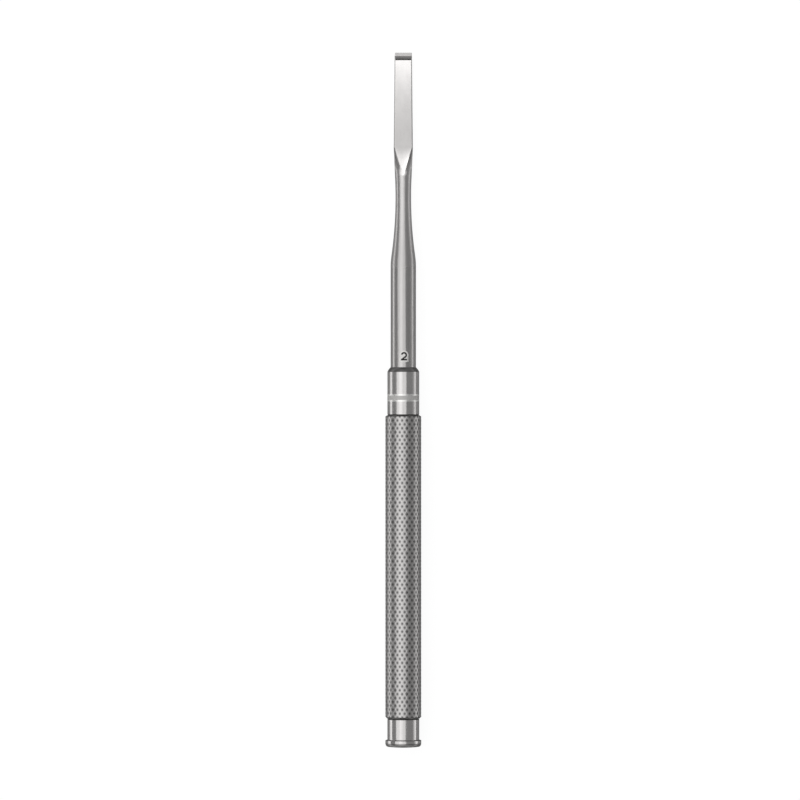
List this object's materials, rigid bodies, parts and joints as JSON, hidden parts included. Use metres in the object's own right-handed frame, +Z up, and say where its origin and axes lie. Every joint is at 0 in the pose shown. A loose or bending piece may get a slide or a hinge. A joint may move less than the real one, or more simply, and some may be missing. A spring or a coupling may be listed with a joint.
{
  "type": "bone chisel",
  "caption": "Straight bone chisel with a round knurled grip, a domed striking rim, a slim tapered shank and a narrow flat blade bevelled on one face.",
  "frame": {"origin": "on the surface that the chisel lies on, under the middle of its length and width", "axes": "+Y from the struck face to the cutting edge, +Z up, with the bevelled face of the blade upwards"},
  "size_m": [0.0088, 0.17, 0.0088],
  "materials": {
    "instrument_steel": "satin, turned and ground"
  },
  "bodies": {
    "root": {"bone_chisel": "instrument_steel"}
  },
  "joints": []
}
